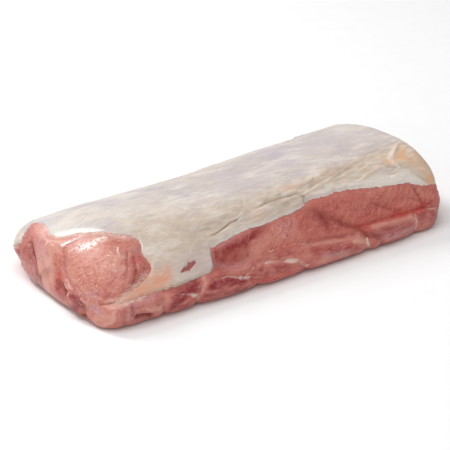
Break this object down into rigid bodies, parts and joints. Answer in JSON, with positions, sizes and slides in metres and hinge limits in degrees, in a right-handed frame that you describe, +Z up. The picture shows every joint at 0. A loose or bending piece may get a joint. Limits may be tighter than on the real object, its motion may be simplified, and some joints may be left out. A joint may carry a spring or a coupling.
{
  "type": "pork loin",
  "caption": "Raw boneless pork loin: a long flat-bottomed joint of pink meat under a pale cap of fat, cut square at both ends.",
  "frame": {"origin": "middle of the bounding box at its foot, on the surface the loin lies on", "axes": "+X along the loin from the left cut end, where the round eye muscle shows, to the right cut end; +Y from the trimmed front wall to the fat covered back wall; +Z up out of the fat cap"},
  "size_m": [0.3408, 0.1642, 0.0605],
  "materials": {
    "raw_pork": "moist raw muscle, pink to dull red, with wet highlights",
    "pork_fat": "smooth raw fat, off-white to pale beige, satin"
  },
  "bodies": {
    "root": {"loin_meat": "raw_pork", "fat_cap": "pork_fat"}
  },
  "joints": []
}
